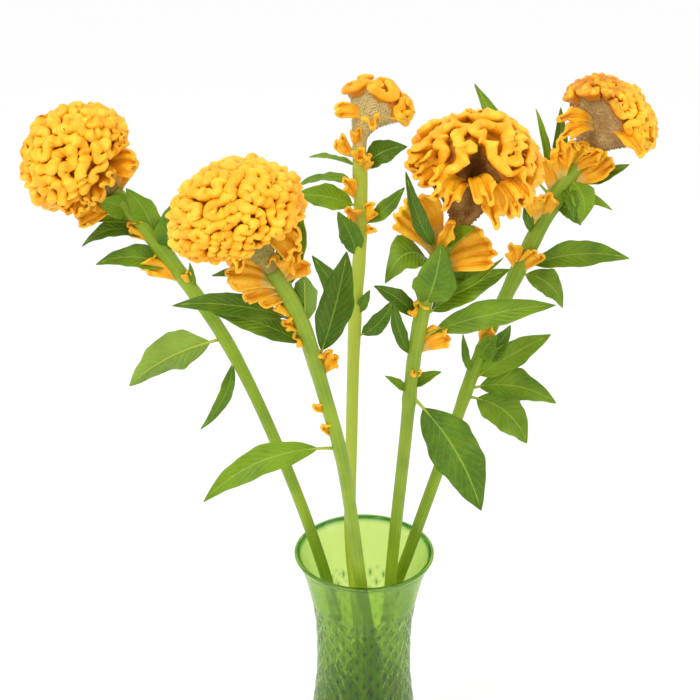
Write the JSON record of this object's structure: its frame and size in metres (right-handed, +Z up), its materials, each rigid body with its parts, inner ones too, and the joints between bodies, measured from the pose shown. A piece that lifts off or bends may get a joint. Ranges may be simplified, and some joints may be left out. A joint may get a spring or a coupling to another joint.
{
  "type": "cockscomb celosia",
  "caption": "Cut stems of yellow crested celosia with leaves and side crests, standing in water in a tall green pressed-glass vase.",
  "frame": {"origin": "on the table, at the centre of the vase's round base", "axes": "+Z up along the vase's axis, +X to the right and -Y to the front as the flowers are seen"},
  "size_m": [0.4198, 0.235, 0.5726],
  "materials": {
    "green_glass": "clear green pressed glass",
    "water": "clear water",
    "leaf_green": "soft green leaf and stem",
    "floret_tan": "dry tan florets",
    "crest_yellow": "velvety yellow-orange crest"
  },
  "bodies": {
    "root": {"vase": "green_glass", "water": "water", "stem_1": "leaf_green", "stem_2": "leaf_green", "stem_3": "leaf_green", "stem_4": "leaf_green", "stem_5": "leaf_green", "neck_1": "floret_tan", "neck_2": "floret_tan", "neck_3": "floret_tan", "neck_4": "floret_tan", "neck_5": "floret_tan", "crest_1": "crest_yellow", "crest_2": "crest_yellow", "crest_3": "crest_yellow", "crest_4": "crest_yellow", "crest_5": "crest_yellow"}
  },
  "joints": []
}
